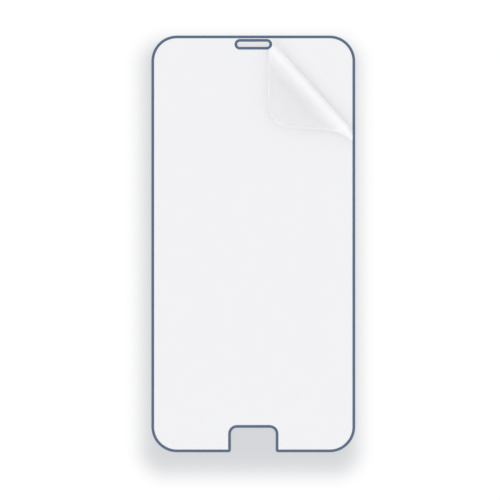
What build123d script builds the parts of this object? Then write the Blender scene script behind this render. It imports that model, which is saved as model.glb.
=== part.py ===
"""Phone screen protector: a film with a printed line round its cut edges, under a thin cover film.

The cover film lies inside the printed line. Its upper right corner is peeled up, turned over along a slanting
fold and laid back over the sheet. X runs across the phone, Y towards the earpiece and Z off the screen; the
origin is in the middle of the underside. All sizes are in millimetres.
"""

import os

from build123d import *

# Protector film
film_width = 67.0
film_length = 137.0
film_thickness = 0.25
film_corner_radius = 8.4

# Notch for the home button, open at the lower edge
notch_width = 14.75
notch_depth = 8.05
notch_radius = 2.0
notch_lip_radius = 0.8

# Slot for the earpiece; the inset is from the upper edge to the slot's centre line
slot_length = 10.6
slot_width = 1.7
slot_inset = 2.87

# Printed line, along the film's edges and round the slot
line_width = 0.82
line_thickness = 0.05

# Cover film, and the gap between it and the printed line
cover_thickness = 0.1
cover_clearance = 0.15

# Peeled corner, measured from where the cover film's upper and right edges would meet
fold_along_top = 27.1
fold_along_side = 29.95
flap_reach_left = 27.6
flap_reach_down = 28.48
flap_sweep_start = 8.75
flap_sweep_drop = 1.65
flap_side_drop = 33.75

# Curl of the peeled corner: the clear height under the flap, and the distances from the fold line back to
# where the film leaves the sheet and to where the flap lies level
curl_height = 2.2
curl_rise = 1.3
curl_fall = 5.8

# Places that follow from the sizes
slot_y = film_length / 2 - slot_inset
sheet_plane = Plane.XY.offset(film_thickness)
cover_inset = line_width + cover_clearance
cover_corner_radius = film_corner_radius - cover_inset
cover_right = film_width / 2 - cover_inset
cover_top = film_length / 2 - cover_inset
flap_left = cover_right - flap_reach_left
flap_lower = cover_top - flap_reach_down
curl_top = curl_height + cover_thickness
curl_half = curl_top / 2


def film_outline(inset: float) -> Sketch:
    """Outline of the film with its notch, brought in from the cut edge by an even inset."""
    right = film_width / 2 - inset
    top = film_length / 2 - inset
    notch_right = notch_width / 2 + inset
    notch_top = notch_depth - film_length / 2 + inset
    corner = film_corner_radius - inset
    lip = max(notch_lip_radius - inset, 0)
    with BuildSketch() as outline:
        with BuildLine():
            FilletPolyline(
                (0, top),
                (right, top),
                (right, -top),
                (notch_right, -top),
                (notch_right, notch_top),
                (0, notch_top),
                radius=[corner, corner, lip, notch_radius + inset],
            )
            mirror(about=Plane.YZ)
        make_face()
    return outline.sketch


def slot_outline(margin: float) -> Sketch:
    """Outline of the earpiece slot, let out by an even margin."""
    with BuildSketch() as outline:
        with Locations((0, slot_y)):
            SlotOverall(slot_length + 2 * margin, slot_width + 2 * margin)
    return outline.sketch


film_edge = film_outline(0)
line_inner_edge = film_outline(line_width)
cover_edge = film_outline(cover_inset)
slot_edge = slot_outline(0)
slot_line_edge = slot_outline(line_width)
slot_relief_edge = slot_outline(cover_inset)

# Protector film: flat, cut through at the notch and the slot
with BuildPart() as protector_film:
    with BuildSketch():
        add(film_edge)
        add(slot_edge, mode=Mode.SUBTRACT)
    extrude(amount=film_thickness)
protector_film.part.label = "protector_film"

# Printed line along the film's outer edge and round the notch
with BuildPart() as edge_line:
    with BuildSketch(sheet_plane):
        add(film_edge)
        add(line_inner_edge, mode=Mode.SUBTRACT)
    extrude(amount=line_thickness)
edge_line.part.label = "edge_line"

# Printed line round the slot
with BuildPart() as slot_line:
    with BuildSketch(sheet_plane):
        add(slot_line_edge)
        add(slot_edge, mode=Mode.SUBTRACT)
    extrude(amount=line_thickness)
slot_line.part.label = "slot_line"

# The cover film turns over along the fold line, and leaves the sheet along the lift line beside it
fold_top = Vector(cover_right - fold_along_top, cover_top, film_thickness)
fold_side = Vector(cover_right, cover_top - fold_along_side, film_thickness)
fold_length = (fold_side - fold_top).length
along_fold = (fold_side - fold_top).normalized()
across_fold = Vector(0, 0, 1).cross(along_fold)
curl_section = Plane((fold_top + fold_side) / 2, across_fold, along_fold)
lift_plane = Plane(fold_top - across_fold * curl_rise, along_fold, across_fold)
flap_sheet_width = (fold_top - Vector(flap_left, flap_lower)).dot(across_fold)


def quarter_turn(reach: float, start: float) -> tuple[Edge, Edge]:
    """Outer and inner face of a quarter of the curl, as arcs of two ellipses that end at the fold."""
    centre = (-reach, curl_half)
    outer = EllipticalCenterArc(centre, reach, curl_half, start, arc_size=90)
    inner_reach = reach - cover_thickness
    inner_half = curl_half - cover_thickness
    inner = EllipticalCenterArc(centre, inner_reach, inner_half, start, arc_size=90)
    return outer, inner


# Rising half of the curl, from the lift line out to the fold line
with BuildPart() as rising_curl:
    with BuildSketch(curl_section):
        with BuildLine():
            outer, inner = quarter_turn(curl_rise, -90)
            Line(outer @ 0, inner @ 0)
            Line(outer @ 1, inner @ 1)
        make_face()
    extrude(amount=fold_length, both=True)
    with BuildSketch(sheet_plane):
        add(cover_edge)
    extrude(amount=curl_top, mode=Mode.INTERSECT)

# Flap seen from above: a straight side, the film's own rounded corner, and a lower edge that sweeps
# down to the right edge
with BuildSketch(sheet_plane) as flap_outline:
    with BuildLine():
        sweep_start = (cover_right - flap_sweep_start, flap_lower - flap_sweep_drop)
        hem = FilletPolyline(
            (flap_left, cover_top), (flap_left, flap_lower), sweep_start, radius=cover_corner_radius
        )
        sweep = TangentArc(sweep_start, (cover_right, cover_top - flap_side_drop), tangent=hem % 1)
        Polyline(sweep @ 1, (cover_right, cover_top), hem @ 0)
    make_face()

# Falling half of the curl, from the fold line back over the sheet, and the flap
with BuildPart() as flap:
    with BuildSketch(curl_section):
        with BuildLine():
            outer, inner = quarter_turn(curl_fall, 0)
            Line(outer @ 0, inner @ 0)
            Polyline(
                outer @ 1,
                (-flap_sheet_width, curl_top),
                (-flap_sheet_width, curl_height),
                inner @ 1,
            )
        make_face()
    extrude(amount=fold_length, both=True)
    extrude(flap_outline.sketch, amount=curl_top, mode=Mode.INTERSECT)

# Cover film: the sheet that still lies flat, its curl and its flap, cut clear of the slot's line
with BuildPart() as cover_film:
    with BuildSketch(sheet_plane):
        add(cover_edge)
    extrude(amount=cover_thickness)
    split(bisect_by=lift_plane, keep=Keep.BOTTOM)
    add(rising_curl.part)
    add(flap.part)
    with BuildSketch(sheet_plane):
        add(slot_relief_edge)
        with Locations((0, slot_y)):
            Rectangle(slot_length + 2 * cover_inset, slot_inset, align=(Align.CENTER, Align.MIN))
    extrude(amount=curl_top, mode=Mode.SUBTRACT)
cover_film.part.label = "cover_film"

os.makedirs("parts", exist_ok=True)
export_step(protector_film.part, "parts/protector_film.step")
export_step(edge_line.part, "parts/edge_line.step")
export_step(slot_line.part, "parts/slot_line.step")
export_step(cover_film.part, "parts/cover_film.step")
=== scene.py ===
"""Phone screen protector, dressed for its picture: a printed milky film under a peeled cover film.

Every sheet starts as an outline of straight runs and rounded corners. Node trees fill the outlines, print the
line along them and roll the cover film's corner back. All sizes are in metres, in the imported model's frame.
"""

import logging
import math
from collections.abc import Mapping, Sequence
from dataclasses import dataclass, field
from enum import Enum
from typing import Any, Union

import bpy
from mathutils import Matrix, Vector
from mathutils.geometry import intersect_point_line


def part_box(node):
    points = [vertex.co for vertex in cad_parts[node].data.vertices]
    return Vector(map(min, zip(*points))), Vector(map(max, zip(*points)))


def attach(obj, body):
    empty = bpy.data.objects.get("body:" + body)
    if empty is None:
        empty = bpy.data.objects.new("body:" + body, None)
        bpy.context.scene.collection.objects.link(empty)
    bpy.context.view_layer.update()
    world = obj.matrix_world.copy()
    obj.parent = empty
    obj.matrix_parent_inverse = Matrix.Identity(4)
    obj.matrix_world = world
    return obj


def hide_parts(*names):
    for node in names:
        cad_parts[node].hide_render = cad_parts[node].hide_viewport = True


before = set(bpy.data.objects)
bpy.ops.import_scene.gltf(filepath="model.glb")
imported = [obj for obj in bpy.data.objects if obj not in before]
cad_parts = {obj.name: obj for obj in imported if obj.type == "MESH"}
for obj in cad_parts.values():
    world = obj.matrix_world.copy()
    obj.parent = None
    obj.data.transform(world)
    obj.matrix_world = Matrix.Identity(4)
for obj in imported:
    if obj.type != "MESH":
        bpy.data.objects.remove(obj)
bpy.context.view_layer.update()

log = logging.getLogger("screen_protector")

MM = 0.001
UP = Vector((0.0, 0.0, 1.0))
Colour = tuple[float, float, float]
Operand = Union["Wire", float]
WHITE: Colour = (1.0, 1.0, 1.0)


class Slot(Enum):
    """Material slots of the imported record."""

    FILM = "milky_film"
    INK = "line_ink"
    COVER = "cover_film"


class Mark(Enum):
    """Attributes on the cover film's mesh that its finish reads."""

    PEELED = "peeled"
    # Band along the fold, partly real whitening and partly a painted highlight
    FOLD = "fold"
    # Painted rim highlight along the flap's cut edge
    RIM_HIGHLIGHT = "rim_highlight"
    # Openness near the flap's edges, which sets a painted shade
    EDGE = "edge"


class Wire:
    """An output socket; Python's operators on it add Math nodes to its tree."""

    def __init__(self, board: "Board", socket: bpy.types.NodeSocket) -> None:
        """Keep the socket and the board that its tree is built on."""
        self.board = board
        self.socket = socket

    def __add__(self, other: Operand) -> "Wire":
        """Sum."""
        return self.board.math("ADD", self, other)

    def __radd__(self, other: Operand) -> "Wire":
        """Sum, from the right."""
        return self.board.math("ADD", other, self)

    def __sub__(self, other: Operand) -> "Wire":
        """Difference."""
        return self.board.math("SUBTRACT", self, other)

    def __rsub__(self, other: Operand) -> "Wire":
        """Difference, from the right."""
        return self.board.math("SUBTRACT", other, self)

    def __mul__(self, other: Operand) -> "Wire":
        """Product."""
        return self.board.math("MULTIPLY", self, other)

    def __rmul__(self, other: Operand) -> "Wire":
        """Product, from the right."""
        return self.board.math("MULTIPLY", other, self)

    def __truediv__(self, other: Operand) -> "Wire":
        """Quotient."""
        return self.board.math("DIVIDE", self, other)

    def __rtruediv__(self, other: Operand) -> "Wire":
        """Quotient, from the right."""
        return self.board.math("DIVIDE", other, self)

    def __pow__(self, other: Operand) -> "Wire":
        """Power."""
        return self.board.math("POWER", self, other)


class Board:
    """A node tree under construction."""

    def __init__(self, tree: bpy.types.NodeTree) -> None:
        """Start on a tree, emptied of what it held."""
        self.tree = tree
        self.tree.nodes.clear()

    def node(
        self,
        kind: str,
        settings: Mapping[str, Any] | None = None,
        sockets: Mapping[str | int, Any] | None = None,
    ) -> bpy.types.Node:
        """Add a node.

        Args:
            kind: The node's type.
            settings: Its properties, set first.
            sockets: A value or a Wire for each input, by name or place.

        Returns:
            The node.
        """
        node = self.tree.nodes.new(kind)
        for name, value in (settings or {}).items():
            setattr(node, name, value)
        for key, value in (sockets or {}).items():
            if isinstance(value, Wire):
                self.tree.links.new(value.socket, node.inputs[key])
            else:
                node.inputs[key].default_value = value
        return node

    def wire(
        self,
        kind: str,
        settings: Mapping[str, Any] | None = None,
        sockets: Mapping[str | int, Any] | None = None,
        output: str | int = 0,
    ) -> Wire:
        """Add a node and take one of its outputs.

        Args:
            kind: The node's type.
            settings: Its properties, set first.
            sockets: A value or a Wire for each input, by name or place.
            output: The output to take, by name or place.

        Returns:
            The output.
        """
        return Wire(self, self.node(kind, settings, sockets).outputs[output])

    def math(self, operation: str, *operands: Operand) -> Wire:
        """Add a Math node on one to three operands."""
        return self.wire("ShaderNodeMath", {"operation": operation}, dict(enumerate(operands)))

    def clamped(self, value: Wire) -> Wire:
        """Limit a value to the range from 0 to 1."""
        return self.wire("ShaderNodeClamp", None, {"Value": value})

    def eased(self, value: Wire, start: Operand, stop: Operand) -> Wire:
        """A soft rise from 0 to 1 while a value goes from one place to another."""
        sockets = {"Value": value, "From Min": start, "From Max": stop}
        return self.wire("ShaderNodeMapRange", {"interpolation_type": "SMOOTHSTEP"}, sockets)

    def dot(self, first: Wire, second: Wire) -> Wire:
        """Dot product of two vectors."""
        return self.wire("ShaderNodeVectorMath", {"operation": "DOT_PRODUCT"}, {0: first, 1: second}, "Value")

    def scaled(self, vector: Wire, factor: Wire) -> Wire:
        """A vector times a value."""
        return self.wire("ShaderNodeVectorMath", {"operation": "SCALE"}, {"Vector": vector, "Scale": factor})

    def vector(self, operation: str, first: Wire, second: Wire) -> Wire:
        """Add a Vector Math node on two vectors."""
        return self.wire("ShaderNodeVectorMath", {"operation": operation}, {0: first, 1: second})


class ShapeTree(Board):
    """A geometry node tree with named inputs, which ends in Realize Instances and Set Material."""

    def __init__(self, name: str) -> None:
        """Start a tree that takes and gives a geometry, and takes a material."""
        super().__init__(bpy.data.node_groups.new(name, "GeometryNodeTree"))
        self.identifiers: dict[str, str] = {}
        self.entry = self.node("NodeGroupInput")
        self.tree.interface.new_socket("Geometry", in_out="OUTPUT", socket_type="NodeSocketGeometry")
        self.start = self.input("Geometry", "NodeSocketGeometry")
        self.material = self.input("Material", "NodeSocketMaterial")

    def input(self, name: str, kind: str = "NodeSocketFloat") -> Wire:
        """Add a named input.

        Args:
            name: The input's name.
            kind: The type of its socket.

        Returns:
            The input, as it comes into the tree.
        """
        socket = self.tree.interface.new_socket(name, in_out="INPUT", socket_type=kind)
        self.identifiers[name] = socket.identifier
        return Wire(self, self.entry.outputs[name])

    def close(self, geometry: Wire) -> None:
        """End the tree with its two last steps."""
        real = self.wire("GeometryNodeRealizeInstances", None, {"Geometry": geometry})
        dressed = self.wire("GeometryNodeSetMaterial", None, {"Geometry": real, "Material": self.material})
        self.node("NodeGroupOutput", None, {"Geometry": dressed})

    def put_on(self, host: bpy.types.Object, values: Mapping[str, Any]) -> None:
        """Give an object this tree as a modifier.

        Args:
            host: The object.
            values: A value for each named input but the geometry.
        """
        modifier = host.modifiers.new(self.tree.name, "NODES")
        modifier.node_group = self.tree
        for name, value in values.items():
            modifier[self.identifiers[name]] = value


class SheetTree(ShapeTree):
    """Fills the outlines of a sheet, holes left open, and gives it its thickness."""

    merge_distance = 0.0001 * MM

    def __init__(self) -> None:
        """Build the tree."""
        super().__init__("sheet")
        thickness = self.input("Thickness")
        outline = self.wire("GeometryNodeMeshToCurve", None, {"Mesh": self.start})
        face = self.wire("GeometryNodeFillCurve", {"mode": "NGONS"}, {"Curve": outline})
        lift = self.wire("ShaderNodeCombineXYZ", None, {"Z": thickness})
        raised = self.wire(
            "GeometryNodeExtrudeMesh",
            {"mode": "FACES"},
            {"Mesh": face, "Offset": lift, "Offset Scale": 1.0, "Individual": False},
        )
        under = self.wire("GeometryNodeFlipFaces", None, {"Mesh": face})
        shell = self.node("GeometryNodeJoinGeometry")
        for part in (raised, under):
            self.tree.links.new(part.socket, shell.inputs[0])
        joined = Wire(self, shell.outputs[0])
        merging = {"Geometry": joined, "Distance": self.merge_distance}
        self.close(self.wire("GeometryNodeMergeByDistance", None, merging))


class LineTree(ShapeTree):
    """Prints a line along a path: a low band of ink, flat below and rounded at its shoulders."""

    profile_points = 24
    shoulder_power = 4.0
    base_margin = 1e-6

    def __init__(self) -> None:
        """Build the tree."""
        super().__init__("printed_line")
        width = self.input("Width")
        thickness = self.input("Thickness")
        path = self.wire("GeometryNodeMeshToCurve", None, {"Mesh": self.start})
        level = self.wire("GeometryNodeSetCurveNormal", {"mode": "Z_UP"}, {"Curve": path})
        ring = self.wire(
            "GeometryNodeCurvePrimitiveCircle",
            {"mode": "RADIUS"},
            {"Resolution": self.profile_points, "Radius": 1.0},
        )
        place = self.node("ShaderNodeSeparateXYZ", None, {0: self.wire("GeometryNodeInputPosition")})
        across = Wire(self, place.outputs["X"])
        above = self.math("GREATER_THAN", Wire(self, place.outputs["Y"]), self.base_margin)
        crown = self.math("MAXIMUM", 1.0 - self.math("ABSOLUTE", across) ** self.shoulder_power, 0.0)
        raised = above * crown ** (1.0 / self.shoulder_power) * thickness
        spot = self.wire("ShaderNodeCombineXYZ", None, {"X": across * width * 0.5, "Y": raised * -1.0})
        profile = self.wire("GeometryNodeSetPosition", None, {"Geometry": ring, "Position": spot})
        band = self.wire("GeometryNodeCurveToMesh", None, {"Curve": level, "Profile Curve": profile})
        outward = self.wire("GeometryNodeFlipFaces", None, {"Mesh": band})
        self.close(self.wire("GeometryNodeSetShadeSmooth", None, {"Geometry": outward, "Shade Smooth": True}))


class PeelTree(ShapeTree):
    """Rolls what lies beyond a lift line up to a fold and back, and lays the rest level above the sheet."""

    onset_power = 2.0

    def __init__(self) -> None:
        """Build the tree."""
        super().__init__("peeled_corner")
        lift_point = self.input("Lift Point", "NodeSocketVector")
        across = self.input("Across", "NodeSocketVector")
        half = self.input("Half Height")
        rise = self.input("Rise")
        rise_length = self.input("Rise Length")
        fall = self.input("Fall")
        fall_length = self.input("Fall Length")
        white_near = self.input("White Near")
        white_far = self.input("White Far")

        # How far each point lies beyond the lift line on the flat sheet, and its share of the roll
        offset = self.vector("SUBTRACT", self.wire("GeometryNodeInputPosition"), lift_point)
        beyond = self.math("MAXIMUM", self.dot(offset, across), 0.0)
        rising = self.clamped(beyond / rise_length)
        falling = self.clamped((beyond - rise_length) / fall_length)
        level = self.math("MAXIMUM", beyond - rise_length - fall_length, 0.0)

        # Where it comes to: two quarters of ellipses that meet at the fold, then the level flap
        rise_turn = rising * (math.pi / 2)
        fall_turn = falling * (math.pi / 2)
        back = fall * (1.0 - self.math("COSINE", fall_turn)) + level
        out = rise * self.math("SINE", rise_turn) - back
        height = half * (1.0 - self.math("COSINE", rise_turn) + self.math("SINE", fall_turn))
        raised = self.wire("ShaderNodeCombineXYZ", None, {"Z": height})
        shift = self.vector("ADD", self.scaled(across, out - beyond), raised)

        lifted = rising ** self.onset_power
        peeled = self.mark(self.start, Mark.PEELED, lifted)
        # The fold mark: white haze along the fold, partly real whitening and partly a painted highlight
        whitening_and_highlight = lifted * (1.0 - self.eased(back, white_near, white_far))
        folded = self.mark(peeled, Mark.FOLD, whitening_and_highlight)
        self.close(self.wire("GeometryNodeSetPosition", None, {"Geometry": folded, "Offset": shift}))

    def mark(self, geometry: Wire, mark: Mark, value: Wire) -> Wire:
        """Store a value on the points under a mark's name."""
        return self.wire(
            "GeometryNodeStoreNamedAttribute",
            {"data_type": "FLOAT", "domain": "POINT"},
            {"Geometry": geometry, "Name": mark.value, "Value": value},
        )


class ShaderBoard(Board):
    """A material's node tree."""

    def __init__(self, name: str) -> None:
        """Start a material."""
        self.material = bpy.data.materials.new(name)
        self.material.use_nodes = True
        super().__init__(self.material.node_tree)
        self.place = self.wire("ShaderNodeTexCoord", None, None, "Object")

    def noise(self, grain_size: float, detail: float = 2.0) -> Wire:
        """A soft random value from 0 to 1.

        Args:
            grain_size: Size of its blotches.
            detail: How many finer layers it has.

        Returns:
            The value.
        """
        sockets = {"Vector": self.place, "Scale": 1.0 / grain_size, "Detail": detail}
        return self.wire("ShaderNodeTexNoise", None, sockets)

    def mixed(self, factor: Operand, first: Any, second: Any) -> Wire:
        """A colour between two, by a factor."""
        return self.wire("ShaderNodeMix", {"data_type": "RGBA"}, {0: factor, 6: first, 7: second}, 2)

    def attribute(self, mark: Mark) -> Wire:
        """A value that the mesh carries."""
        return self.wire("ShaderNodeAttribute", {"attribute_name": mark.value}, None, "Fac")

    def bump(self, height: Wire, depth: float) -> Wire:
        """A normal tilted by a height field of a given depth."""
        return self.wire("ShaderNodeBump", None, {"Strength": 1.0, "Distance": depth, "Height": height})

    def close(self, surface: Wire) -> bpy.types.Material:
        """End the tree and give its material."""
        self.node("ShaderNodeOutputMaterial", None, {"Surface": surface})
        return self.material


def opaque(colour: Colour) -> tuple[float, float, float, float]:
    """A colour with its fourth value."""
    return (*colour, 1.0)


@dataclass(frozen=True)
class MilkyFilm:
    """Finish of the protector: a pale satin film, faintly clouded, with a fine matt grain."""

    pale: Colour = (0.885, 0.886, 0.908)
    clouded: Colour = (0.866, 0.868, 0.890)
    opacity: float = 0.94
    roughness: float = 0.62
    roughness_range: float = 0.08
    cloud_size: float = 6.0 * MM
    cloud_detail: float = 4.0
    cloud_share: float = 0.6
    grain_size: float = 0.35 * MM
    grain_depth: float = 0.002 * MM

    def make(self) -> bpy.types.Material:
        """Build the material.

        Returns:
            The material.
        """
        board = ShaderBoard("milky_film")
        grain = board.noise(self.grain_size)
        blotches = board.noise(self.cloud_size, self.cloud_detail)
        cloud = blotches * self.cloud_share + grain * (1.0 - self.cloud_share)
        surface = board.wire(
            "ShaderNodeBsdfPrincipled",
            None,
            {
                "Base Color": board.mixed(cloud, opaque(self.pale), opaque(self.clouded)),
                "Roughness": self.roughness + (grain - 0.5) * self.roughness_range,
                "Alpha": self.opacity,
                "Normal": board.bump(grain, self.grain_depth),
            },
        )
        return board.close(surface)


@dataclass(frozen=True)
class LineInk:
    """Finish of the printed line: satin blue-grey ink, a little uneven as it was laid."""

    dense: Colour = (0.078, 0.121, 0.196)
    thin: Colour = (0.094, 0.140, 0.220)
    sheen: float = 0.25
    roughness: float = 0.48
    roughness_range: float = 0.12
    patch_size: float = 2.2 * MM
    patch_detail: float = 3.0
    patch_share: float = 0.5
    grain_size: float = 0.12 * MM
    grain_depth: float = 0.004 * MM

    def make(self) -> bpy.types.Material:
        """Build the material.

        Returns:
            The material.
        """
        board = ShaderBoard("line_ink")
        grain = board.noise(self.grain_size)
        patches = board.noise(self.patch_size, self.patch_detail)
        cover = patches * self.patch_share + grain * (1.0 - self.patch_share)
        surface = board.wire(
            "ShaderNodeBsdfPrincipled",
            None,
            {
                "Base Color": board.mixed(cover, opaque(self.dense), opaque(self.thin)),
                "Specular IOR Level": self.sheen,
                "Roughness": self.roughness + (grain - 0.5) * self.roughness_range,
                "Normal": board.bump(grain, self.grain_depth),
            },
        )
        return board.close(surface)


@dataclass(frozen=True)
class ClearFilm:
    """Finish of the cover: clear glossy film, nearly unseen where it clings and hazy where it is peeled, with
    a white band at the fold that is partly a painted highlight, a painted highlight along the flap's cut edge
    and painted shade near the flap's edges.
    """

    haze: Colour = (0.985, 0.985, 0.99)
    # Grey of the painted shade near the flap's edges
    painted_edge_shade: Colour = (0.93, 0.93, 0.93)
    clinging: float = 0.008
    peeled: float = 0.38
    # Haze of the white band at the fold, partly a painted highlight
    fold: float = 0.47
    # Haze of the painted rim highlight along the flap's cut edge
    rim_highlight: float = 0.55
    # How much the fold's band, partly a painted highlight, fades near the flap's edges
    fading: float = 0.7
    let_on: float = 0.5
    held_at_fold: float = 0.2
    gloss: Colour = WHITE
    gloss_roughness: float = 0.32
    mirror: float = 0.04
    glance_power: float = 5.0

    def make(self) -> bpy.types.Material:
        """Build the material.

        Returns:
            The material.
        """
        board = ShaderBoard("clear_film")
        peeled = board.attribute(Mark.PEELED)
        edge = board.attribute(Mark.EDGE)
        # White haze band along the fold, partly real whitening and partly a painted highlight, faded near the
        # flap's edges
        fold = board.attribute(Mark.FOLD) * (1.0 - edge * self.fading)
        # Painted highlight: extra white haze along the flap's cut edge
        rim_highlight = board.attribute(Mark.RIM_HIGHLIGHT)
        scatter = peeled * self.peeled + fold * self.fold + rim_highlight * self.rim_highlight + self.clinging
        unshaded_pass = board.wire("ShaderNodeBsdfTransparent", None, {"Color": opaque(self.gloss)})
        painted_edge_shade = board.wire("ShaderNodeBsdfTransparent", None, {"Color": opaque(self.painted_edge_shade)})
        # Painted shade: grey see-through near the flap's edges, where more light reaches under it
        edge_shade_share = edge * (1.0 - fold) * (1.0 - rim_highlight)
        clear = board.wire("ShaderNodeMixShader", None, {0: edge_shade_share, 1: unshaded_pass, 2: painted_edge_shade})
        thrown_back = board.wire(
            "ShaderNodeBsdfPrincipled",
            None,
            {"Base Color": opaque(self.haze), "Roughness": self.gloss_roughness},
        )
        let_on = board.wire("ShaderNodeBsdfTranslucent", None, {"Color": opaque(self.haze)})
        share_let_on = self.let_on * (1.0 - fold * self.held_at_fold)
        haze = board.wire("ShaderNodeMixShader", None, {0: share_let_on, 1: thrown_back, 2: let_on})
        body = board.wire("ShaderNodeMixShader", None, {0: scatter, 1: clear, 2: haze})
        gloss = board.wire(
            "ShaderNodeBsdfAnisotropic",
            None,
            {"Color": opaque(self.gloss), "Roughness": self.gloss_roughness},
        )
        facing = board.wire("ShaderNodeLayerWeight", None, {"Blend": 0.5}, "Facing")
        glancing = facing ** self.glance_power
        mirror = self.mirror + glancing * (1.0 - self.mirror) * (1.0 - fold)
        surface = board.wire("ShaderNodeMixShader", None, {0: mirror * peeled, 1: body, 2: gloss})
        return board.close(surface)


@dataclass(frozen=True)
class Corner:
    """A corner of an outline and the radius that rounds it."""

    x: float
    y: float
    radius: float = 0.0

    @property
    def point(self) -> Vector:
        """The corner before it is rounded."""
        return Vector((self.x, self.y))


def arc(centre: Vector, start: Vector, sweep: float, steps: int) -> list[Vector]:
    """Points along an arc.

    Args:
        centre: The arc's centre.
        start: Its first point.
        sweep: The angle that it turns through, anticlockwise.
        steps: How many straight steps stand for it.

    Returns:
        The points, both ends among them.
    """
    spoke = start - centre
    points = []
    for step in range(steps + 1):
        turn = sweep * step / steps
        swung = Vector(
            (
                spoke.x * math.cos(turn) - spoke.y * math.sin(turn),
                spoke.x * math.sin(turn) + spoke.y * math.cos(turn),
            )
        )
        points.append(centre + swung)
    return points


def rounded_corner(before: Vector, corner: Corner, after: Vector, steps: int) -> list[Vector]:
    """Points that round one corner.

    Args:
        before: The corner before it.
        corner: The corner.
        after: The corner after it.
        steps: How many straight steps stand for the arc.

    Returns:
        The points along the arc, or the corner itself where it has no radius.
    """
    if corner.radius <= 0.0:
        return [corner.point]
    inward = (corner.point - before).normalized()
    outward = (after - corner.point).normalized()
    turn = math.atan2(inward.cross(outward), inward.dot(outward))
    start = corner.point - inward * (corner.radius * math.tan(abs(turn) / 2))
    side = Vector((-inward.y, inward.x)) * math.copysign(corner.radius, turn)
    return arc(start + side, start, turn, steps)


def rounded_loop(corners: Sequence[Corner], steps: int) -> list[Vector]:
    """Points of a closed outline with its corners rounded.

    Args:
        corners: The corners in order.
        steps: How many straight steps stand for each arc.

    Returns:
        The points in order.
    """
    points = []
    for place, corner in enumerate(corners):
        before = corners[place - 1].point
        after = corners[(place + 1) % len(corners)].point
        points += rounded_corner(before, corner, after, steps)
    return points


def crossings(base: Vector, heading: Vector, loop: Sequence[Vector]) -> list[float]:
    """Where a line crosses a closed outline.

    Args:
        base: A point of the line.
        heading: The line's direction.
        loop: The outline's points.

    Returns:
        The crossings, each as a multiple of the direction.
    """
    found = []
    for place, point in enumerate(loop):
        last = loop[place - 1]
        side, last_side = heading.cross(point - base), heading.cross(last - base)
        if (side > 0.0) != (last_side > 0.0):
            met = last.lerp(point, last_side / (last_side - side))
            found.append((met - base).dot(heading) / heading.length_squared)
    return found


def edge_distance(point: Vector, loop: Sequence[Vector]) -> float:
    """Distance from a point to the nearest edge of a closed outline.

    Args:
        point: The point.
        loop: The outline's points.

    Returns:
        The distance.
    """
    nearest = math.inf
    for place, end in enumerate(loop):
        start = loop[place - 1]
        _, share = intersect_point_line(point, start, end)
        foot = start.lerp(end, min(max(share, 0.0), 1.0))
        nearest = min(nearest, (point - foot).length)
    return nearest


def quarter_ellipse(reach: float, height: float) -> float:
    """Length of a quarter of an ellipse, from its two half axes."""
    spread = (3 * reach + height) * (reach + 3 * height)
    return (3 * (reach + height) - math.sqrt(spread)) * math.pi / 4


@dataclass(frozen=True)
class FilmCut:
    """Cut of the protector film: its outline, its notch for the home button and its earpiece slot."""

    width: float
    length: float
    thickness: float
    corner_radius: float = 8.4 * MM
    notch_width: float = 14.75 * MM
    notch_depth: float = 8.05 * MM
    notch_radius: float = 2.0 * MM
    notch_lip_radius: float = 0.8 * MM
    slot_length: float = 10.6 * MM
    slot_width: float = 1.7 * MM
    slot_inset: float = 2.87 * MM

    @classmethod
    def from_frame(cls) -> "FilmCut":
        """The cut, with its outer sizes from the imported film."""
        lowest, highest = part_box("protector_film")
        return cls(*(highest - lowest))

    @property
    def slot_y(self) -> float:
        """Height of the slot's centre line on the film."""
        return self.length / 2 - self.slot_inset

    def outline(self, inset: float) -> list[Corner]:
        """Corners of the film's outline, anticlockwise.

        Args:
            inset: How far the outline is brought in from the cut edge.

        Returns:
            The corners in order.
        """
        right = self.width / 2 - inset
        top = self.length / 2 - inset
        notch_right = self.notch_width / 2 + inset
        notch_top = self.notch_depth - self.length / 2 + inset
        corner = self.corner_radius - inset
        lip = max(self.notch_lip_radius - inset, 0.0)
        inner = self.notch_radius + inset
        return [
            Corner(right, -top, corner),
            Corner(right, top, corner),
            Corner(-right, top, corner),
            Corner(-right, -top, corner),
            Corner(-notch_right, -top, lip),
            Corner(-notch_right, notch_top, inner),
            Corner(notch_right, notch_top, inner),
            Corner(notch_right, -top, lip),
        ]

    def slot(self, margin: float) -> list[Corner]:
        """Corners of the slot's outline, anticlockwise.

        Args:
            margin: How far the outline is let out.

        Returns:
            The corners in order.
        """
        right = self.slot_length / 2 + margin
        end = self.slot_width / 2 + margin
        low, high = self.slot_y - end, self.slot_y + end
        return [
            Corner(right, low, end),
            Corner(right, high, end),
            Corner(-right, high, end),
            Corner(-right, low, end),
        ]


def outline_host(name: str, loops: Sequence[Sequence[Vector]], height: float) -> bpy.types.Object:
    """An object of closed outlines, for a tree to build on.

    Args:
        name: The object's name.
        loops: The points of each outline.
        height: Height at which the outlines lie.

    Returns:
        The object.
    """
    points, edges = [], []
    for loop in loops:
        first = len(points)
        points += [(point.x, point.y, height) for point in loop]
        edges += [(first + i, first + (i + 1) % len(loop)) for i in range(len(loop))]
    mesh = bpy.data.meshes.new(name)
    mesh.from_pydata(points, edges, [])
    return linked(name, mesh)


def linked(name: str, data: bpy.types.ID | None) -> bpy.types.Object:
    """A new object in the scene.

    Args:
        name: The object's name.
        data: What it shows.

    Returns:
        The object.
    """
    made = bpy.data.objects.new(name, data)
    bpy.context.scene.collection.objects.link(made)
    return made


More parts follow.
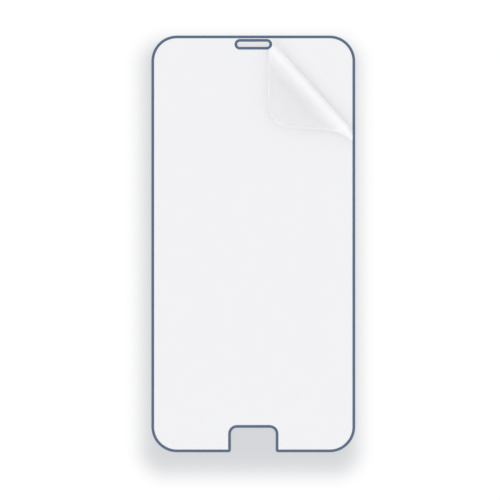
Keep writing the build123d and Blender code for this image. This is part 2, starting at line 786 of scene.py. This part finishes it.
def settle(host: bpy.types.Object) -> None:
    """Turn an object's modifiers into its plain mesh.

    Args:
        host: The object.
    """
    graph = bpy.context.evaluated_depsgraph_get()
    shaped = host.evaluated_get(graph)
    mesh = bpy.data.meshes.new_from_object(shaped, preserve_all_data_layers=True, depsgraph=graph)
    host.modifiers.clear()
    rough = host.data
    host.data = mesh
    mesh.name = host.name
    bpy.data.meshes.remove(rough)


def hand_over(piece: bpy.types.Object, node: str) -> bpy.types.Object:
    """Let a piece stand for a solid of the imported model.

    Args:
        piece: The finished piece.
        node: The solid.

    Returns:
        The piece.
    """
    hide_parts(node)
    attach(piece, "root")
    log.info("%s stands for %s, %d faces", piece.name, node, len(piece.data.polygons))
    return piece


@dataclass
class ProtectorFilm:
    """The protector film, flat and cut through at its notch and slot."""

    cut: FilmCut
    arc_steps: int = 24
    edge_round: float = 0.03 * MM
    edge_segments: int = 2
    edge_angle: float = math.radians(60.0)

    def build(self, finish: MilkyFilm) -> bpy.types.Object:
        """Make the film and dress it.

        Args:
            finish: Its finish.

        Returns:
            The piece.
        """
        outlines = (self.cut.outline(0.0), self.cut.slot(0.0))
        loops = [rounded_loop(corners, self.arc_steps) for corners in outlines]
        film = outline_host("milky_sheet", loops, 0.0)
        SheetTree().put_on(film, {"Thickness": self.cut.thickness, "Material": finish.make()})
        rounding = film.modifiers.new("edge_round", "BEVEL")
        rounding.width = self.edge_round
        rounding.segments = self.edge_segments
        rounding.limit_method = "ANGLE"
        rounding.angle_limit = self.edge_angle
        settle(film)
        return hand_over(film, "protector_film")


@dataclass
class PrintedLines:
    """The ink line along the film's cut edges and the one round its slot."""

    cut: FilmCut
    width: float = 0.89 * MM
    arc_steps: int = 24
    tree: LineTree = field(default_factory=LineTree)

    def build(self, finish: LineInk) -> list[bpy.types.Object]:
        """Make both lines and dress them.

        Args:
            finish: Their finish.

        Returns:
            The pieces.
        """
        ink = finish.make()
        return [
            self.line("edge_print", "edge_line", self.cut.outline(self.width / 2), ink),
            self.line("slot_print", "slot_line", self.cut.slot(self.width / 2), ink),
        ]

    def line(self, name: str, node: str, path: list[Corner], ink: bpy.types.Material) -> bpy.types.Object:
        """Make one line.

        Args:
            name: The piece's name.
            node: The solid that it stands for.
            path: Corners of the line's middle.
            ink: Its material.

        Returns:
            The piece.
        """
        lowest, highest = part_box(node)
        piece = outline_host(name, [rounded_loop(path, self.arc_steps)], lowest.z)
        self.tree.put_on(piece, {"Width": self.width, "Thickness": highest.z - lowest.z, "Material": ink})
        settle(piece)
        return hand_over(piece, node)


@dataclass(frozen=True)
class Spot:
    """A point of the cover film on the flat sheet, and how far inside the flap's outline it is seen."""

    place: Vector
    inside: float = math.inf


@dataclass
class CoverFilm:
    """The clear cover film inside the printed line, its upper right corner peeled and laid back on itself.

    The sizes of the peeled corner are measured from where the cover's upper and right edges would meet.
    """

    cut: FilmCut
    inset: float = 0.97 * MM
    thickness: float = 0.1 * MM
    fold_along_top: float = 27.1 * MM
    fold_along_side: float = 29.95 * MM
    curl_height: float = 2.2 * MM
    curl_rise: float = 1.3 * MM
    curl_fall: float = 5.8 * MM
    flap_reach_left: float = 27.6 * MM
    flap_reach_down: float = 28.48 * MM
    flap_sweep_start: float = 8.75 * MM
    flap_sweep_drop: float = 1.65 * MM
    flap_side_drop: float = 33.75 * MM
    seat_depth: float = 0.01 * MM
    # Width of the painted rim highlight along the flap's edge
    rim_highlight_width: float = 0.4 * MM
    # Where the fold's white band, partly a painted highlight, is full and where it ends
    white_near: float = 1.3 * MM
    white_far: float = 7.2 * MM
    arc_steps: int = 24
    curl_rows: int = 24
    flap_rows: int = 40
    columns: int = 72
    tip_merge: float = 0.001 * MM
    sharp_angle: float = math.radians(50.0)

    def __post_init__(self) -> None:
        """Work out the lift line and the roll from the sizes."""
        self.right = self.cut.width / 2 - self.inset
        self.top = self.cut.length / 2 - self.inset
        self.corner_radius = self.cut.corner_radius - self.inset
        corner = Vector((self.right, self.top))
        fold_top = corner - Vector((self.fold_along_top, 0.0))
        fold_side = corner - Vector((0.0, self.fold_along_side))
        self.along = (fold_side - fold_top).normalized()
        self.across = Vector((-self.along.y, self.along.x))
        self.lift_point = fold_top - self.across * self.curl_rise
        self.half_height = (self.curl_height + self.thickness) / 2
        self.rise_length = quarter_ellipse(self.curl_rise, self.half_height)
        self.fall_length = quarter_ellipse(self.curl_fall, self.half_height)

    def relief_edge(self) -> list[Vector]:
        """Edge of the cover's open relief round the slot's line.

        Returns:
            The points, anticlockwise along the cover's outline.
        """
        low, _, _, low_left = self.cut.slot(self.inset)
        right = Vector((low.x, self.top))
        left = Vector((low_left.x, self.top))
        bottom_right = rounded_corner(right, low, low_left.point, self.arc_steps)
        bottom_left = rounded_corner(low.point, low_left, left, self.arc_steps)
        return [right, *bottom_right, *bottom_left, left]

    def cover_loop(self) -> list[Vector]:
        """Outline of the whole cover film before it is peeled.

        Returns:
            The points, anticlockwise.
        """
        corners = self.cut.outline(self.inset)
        loop = []
        for place, corner in enumerate(corners):
            after = corners[(place + 1) % len(corners)]
            loop += rounded_corner(corners[place - 1].point, corner, after.point, self.arc_steps)
            if corner.x > 0.0 > after.x and corner.y > 0.0:
                loop += self.relief_edge()
        return loop

    def flap_loop(self) -> list[Vector]:
        """Outline of the flap as it is seen from above, run on past the fold to the film's corner.

        Returns:
            The points, anticlockwise.
        """
        left = self.right - self.flap_reach_left
        lower = self.top - self.flap_reach_down
        sweep_start = Vector((self.right - self.flap_sweep_start, lower - self.flap_sweep_drop))
        sweep_end = Vector((self.right, self.top - self.flap_side_drop))
        tip = Corner(left, lower, self.corner_radius)
        relief = [point for point in self.relief_edge() if point.x > left]
        heading = (sweep_start - tip.point).normalized()
        chord = sweep_end - sweep_start
        half_turn = math.atan2(heading.cross(chord), heading.dot(chord))
        radius = chord.length / 2 / math.sin(half_turn)
        centre = sweep_start + Vector((-heading.y, heading.x)) * radius
        return [
            Vector((self.right, self.top)),
            *relief,
            *rounded_corner(Vector((left, self.top)), tip, sweep_start, self.arc_steps * 2),
            *arc(centre, sweep_start, 2 * half_turn, self.arc_steps),
        ]

    def row(self, out: float, beyond: float, loop: list[Vector], middle: float) -> list[Spot]:
        """One row of the peeled corner, from its near edge to its far one.

        Args:
            out: How far past the lift line it is seen from above.
            beyond: How far past the lift line it lies on the flat sheet.
            loop: Outline that it ends at, seen from above.
            middle: A place along it that is inside the outline.

        Returns:
            Points of the row on the flat sheet.
        """
        base = self.lift_point + self.across * out
        ends = crossings(base, self.along, loop)
        near = max((end for end in ends if end <= middle), default=middle)
        far = min((end for end in ends if end > middle), default=middle)
        points = []
        for column in range(self.columns + 1):
            share = (1.0 - math.cos(math.pi * column / self.columns)) / 2
            seen = base + self.along * (near + (far - near) * share)
            points.append(Spot(seen + self.across * (beyond - out), edge_distance(seen, loop)))
        return points

    def rows(self) -> list[list[Spot]]:
        """Rows of the peeled corner on the flat sheet.

        Returns:
            The rows, from the lift line to the flap's tip.
        """
        cover, flap = self.cover_loop(), self.flap_loop()
        tip = min(flap, key=lambda point: (point - self.lift_point).dot(self.across))
        middle = (tip - self.lift_point).dot(self.along)
        level = self.curl_rise - self.curl_fall
        roll = self.rise_length + self.fall_length
        flap_width = level - (tip - self.lift_point).dot(self.across)
        rows = []
        for step in range(self.curl_rows + 1):
            share = step / self.curl_rows
            out = self.curl_rise * math.sin(math.pi / 2 * share)
            rows.append([Spot(spot.place) for spot in self.row(out, self.rise_length * share, cover, middle)])
        for step in range(1, self.curl_rows + 1):
            share = step / self.curl_rows
            out = self.curl_rise - self.curl_fall * (1.0 - math.cos(math.pi / 2 * share))
            rows.append(self.row(out, self.rise_length + self.fall_length * share, flap, middle))
        for step in range(1, self.flap_rows + 1):
            run = flap_width * math.sin(math.pi / 2 * step / self.flap_rows)
            rows.append(self.row(level - run, roll + run, flap, middle))
        return rows

    def flat_points(self) -> list[Vector]:
        """Outline of the part that still lies flat.

        Returns:
            The points, from the lift line's near end round to its far one.
        """
        loop = self.cover_loop()
        flat = [(point - self.lift_point).dot(self.across) < 0.0 for point in loop]
        start = next(i for i in range(len(loop)) if flat[i] and not flat[i - 1])
        order = [*range(start, len(loop)), *range(start)]
        return [loop[i] for i in order if flat[i]]

    def flat_sheet(self, height: float) -> bpy.types.Object:
        """The cover film as it was cut, before its corner is rolled.

        Args:
            height: Height at which the sheet lies.

        Returns:
            The object.
        """
        rows = self.rows()
        width = self.columns + 1
        spots = [spot for row in rows for spot in row]
        peeled = len(spots)
        spots += [Spot(point) for point in self.flat_points()]
        points = [(*spot.place, height) for spot in spots]
        faces = [[*range(peeled, len(spots)), *reversed(range(width))]]
        for first in range(0, peeled - width, width):
            for near in range(first, first + self.columns):
                faces.append([near, near + 1, near + 1 + width, near + width])
        mesh = bpy.data.meshes.new("clear_cover")
        mesh.from_pydata(points, [], faces)
        # Painted rim highlight: white haze along the flap's cut edge
        self.store(mesh, Mark.RIM_HIGHLIGHT, [max(1.0 - spot.inside / self.rim_highlight_width, 0.0) for spot in spots])
        # Openness under the flap's edge, which sets the painted shade there
        self.store(mesh, Mark.EDGE, [self.edge_light(spot.inside) for spot in spots])
        mesh.shade_smooth()
        return linked("clear_cover", mesh)

    def edge_light(self, inside: float) -> float:
        """How open the space under the flap is at a distance inside its edge: 1 at the edge, 0 far inside."""
        return 1.0 - inside / math.hypot(inside, self.curl_height) if math.isfinite(inside) else 0.0

    @staticmethod
    def store(mesh: bpy.types.Mesh, mark: Mark, values: list[float]) -> None:
        """Store a value on each point under a mark's name."""
        mesh.attributes.new(mark.value, "FLOAT", "POINT").data.foreach_set("value", values)

    def build(self, finish: ClearFilm) -> bpy.types.Object:
        """Make the cover film, roll its corner back and dress it.

        Args:
            finish: Its finish.

        Returns:
            The piece.
        """
        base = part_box("cover_film")[0].z - self.seat_depth
        cover = self.flat_sheet(base)
        values = {
            "Material": finish.make(),
            "Lift Point": (*self.lift_point, base),
            "Across": (*self.across, 0.0),
            "Half Height": self.half_height,
            "Rise": self.curl_rise,
            "Rise Length": self.rise_length,
            "Fall": self.curl_fall,
            "Fall Length": self.fall_length,
            "White Near": self.white_near,
            "White Far": self.white_far,
        }
        PeelTree().put_on(cover, values)
        merge = cover.modifiers.new("tip", "WELD")
        merge.merge_threshold = self.tip_merge
        wall = cover.modifiers.new("wall", "SOLIDIFY")
        wall.thickness = self.thickness
        wall.offset = 1.0
        wall.use_quality_normals = True
        settle(cover)
        cover.data.set_sharp_from_angle(angle=self.sharp_angle)
        return hand_over(cover, "cover_film")


@dataclass(frozen=True)
class SoftBox:
    """A square lamp that faces the sheet.

    Its tilt is from straight above, towards its heading. One that is only mirrored doesn't light matt faces.
    """

    name: str
    power: float
    size: float
    distance: float
    tilt: float
    heading: tuple[float, float]
    mirrored_only: bool = False

    def hang(self) -> None:
        """Put the lamp in its place."""
        data = bpy.data.lights.new(self.name, "AREA")
        data.energy = self.power
        data.size = self.size
        lamp = linked(self.name, data)
        flat = Vector((*self.heading, 0.0)).normalized() * math.sin(self.tilt)
        aim = flat + UP * math.cos(self.tilt)
        lamp.location = aim * self.distance
        lamp.rotation_euler = aim.to_track_quat("Z", "Y").to_euler()
        lamp.visible_camera = False
        lamp.visible_diffuse = not self.mirrored_only


@dataclass(frozen=True)
class PaintedFloorShadow:
    """A painted shadow of the sheet on the floor: a box with round corners and blurred edges."""

    left: float = -36.91 * MM
    right: float = 34.86 * MM
    low: float = -75.8 * MM
    high: float = 66.75 * MM
    corner_radius: float = 8.7 * MM
    blur: float = 3.83 * MM
    colour: Colour = (0.655, 0.662, 0.684)

    def paint(self, board: ShaderBoard) -> Wire:
        """The floor's colour: white outside the painted shadow, and darker inside it.

        Args:
            board: The floor's material.

        Returns:
            The colour.
        """
        place = board.node("ShaderNodeSeparateXYZ", None, {0: board.place})
        x = self.past_middle(board, Wire(board, place.outputs["X"]), self.left, self.right)
        y = self.past_middle(board, Wire(board, place.outputs["Y"]), self.low, self.high)
        corner_x, corner_y = board.math("MAXIMUM", x, 0.0), board.math("MAXIMUM", y, 0.0)
        round_corner = (corner_x ** 2.0 + corner_y ** 2.0) ** 0.5
        straight_side = board.math("MINIMUM", board.math("MAXIMUM", x, y), 0.0)
        past_edge = round_corner + straight_side - self.corner_radius
        # Painted shadow: the floor's colour darkens inside the blurred box
        depth = 0.5 - board.math("TANH", past_edge / self.blur) * 0.5
        return board.mixed(depth, opaque(WHITE), opaque(self.colour))

    def past_middle(self, board: Board, value: Wire, start: float, stop: float) -> Wire:
        """How far a place is past the straight run between two of the box's corners.

        Args:
            board: The tree to build on.
            value: The place, along one axis.
            start: One edge of the box.
            stop: The other edge.

        Returns:
            The distance, below 0 between the corners.
        """
        half = (stop - start) / 2 - self.corner_radius
        return board.math("ABSOLUTE", value - (start + stop) / 2) - half


@dataclass
class Studio:
    """Floor, light and camera."""

    floor_half: float = 1.5
    floor_drop: float = 0.1 * MM
    floor_glow: float = 0.7
    world_level: float = 1.012
    card: SoftBox = SoftBox("card", 1.2, 0.36, 0.9, math.radians(27.0), (0.742, 0.671), mirrored_only=True)
    key: SoftBox = SoftBox("key", 17.0, 1.67, 4.0, math.radians(62.0), (-0.742, -0.671))
    lens: float = 150.0
    sensor: float = 36.0
    view_centre: tuple[float, float] = (-1.085 * MM, -2.006 * MM)
    view_width: float = 164.46 * MM
    nearest_view: float = 10.0 * MM
    # The sheet's shadow, painted on the floor
    shade: PaintedFloorShadow = PaintedFloorShadow()

    def build(self) -> None:
        """Set the stage."""
        bpy.context.scene.view_settings.view_transform = "Standard"
        self.lay_floor()
        self.light_world()
        self.card.hang()
        self.key.hang()
        self.place_camera()

    def lay_floor(self) -> None:
        """A white floor with the sheet's wide soft shadow painted on it."""
        half = self.floor_half
        mesh = bpy.data.meshes.new("floor")
        spots = [(x * half, y * half, -self.floor_drop) for x, y in ((-1, -1), (1, -1), (1, 1), (-1, 1))]
        mesh.from_pydata(spots, [], [(0, 1, 2, 3)])
        board = ShaderBoard("floor")
        paint = self.shade.paint(board)
        matt = board.wire("ShaderNodeBsdfDiffuse", None, {"Color": paint})
        bright = board.wire("ShaderNodeEmission", None, {"Color": paint, "Strength": 1.0})
        seen = self.seen_rays(board) * self.floor_glow
        surface = board.wire("ShaderNodeMixShader", None, {0: seen, 1: matt, 2: bright})
        mesh.materials.append(board.close(surface))
        linked("floor", mesh)

    def seen_rays(self, board: Board) -> Wire:
        """Tell rays that show the background: straight to the camera, mirrored or seen through.

        Args:
            board: The tree to build on.

        Returns:
            1 for such a ray, 0 for any other.
        """
        path = board.node("ShaderNodeLightPath")
        kinds = [Wire(board, path.outputs[f"Is {kind} Ray"]) for kind in ("Camera", "Glossy", "Transmission")]
        return board.clamped(kinds[0] + kinds[1] + kinds[2])

    def light_world(self) -> None:
        """Even light from all round, which the camera sees as white."""
        world = bpy.data.worlds.new("studio")
        world.use_nodes = True
        bpy.context.scene.world = world
        board = Board(world.node_tree)
        level = self.world_level + self.seen_rays(board) * (1.0 - self.world_level)
        glow = board.wire("ShaderNodeBackground", None, {"Color": opaque(WHITE), "Strength": level})
        board.node("ShaderNodeOutputWorld", None, {"Surface": glow})

    def place_camera(self) -> None:
        """A camera that looks straight down, with the film's long way up the picture."""
        data = bpy.data.cameras.new("camera")
        data.lens = self.lens
        data.sensor_width = self.sensor
        data.clip_start = self.nearest_view
        camera = linked("camera", data)
        height = self.view_width * self.lens / self.sensor
        camera.location = (*self.view_centre, height)
        bpy.context.scene.camera = camera


def main() -> None:
    """Build the screen protector and its stage."""
    logging.basicConfig(level=logging.INFO, format="%(message)s")
    cut = FilmCut.from_frame()
    ProtectorFilm(cut).build(MilkyFilm())
    PrintedLines(cut).build(LineInk())
    CoverFilm(cut).build(ClearFilm())
    Studio().build()


if __name__ == "__main__":
    main()
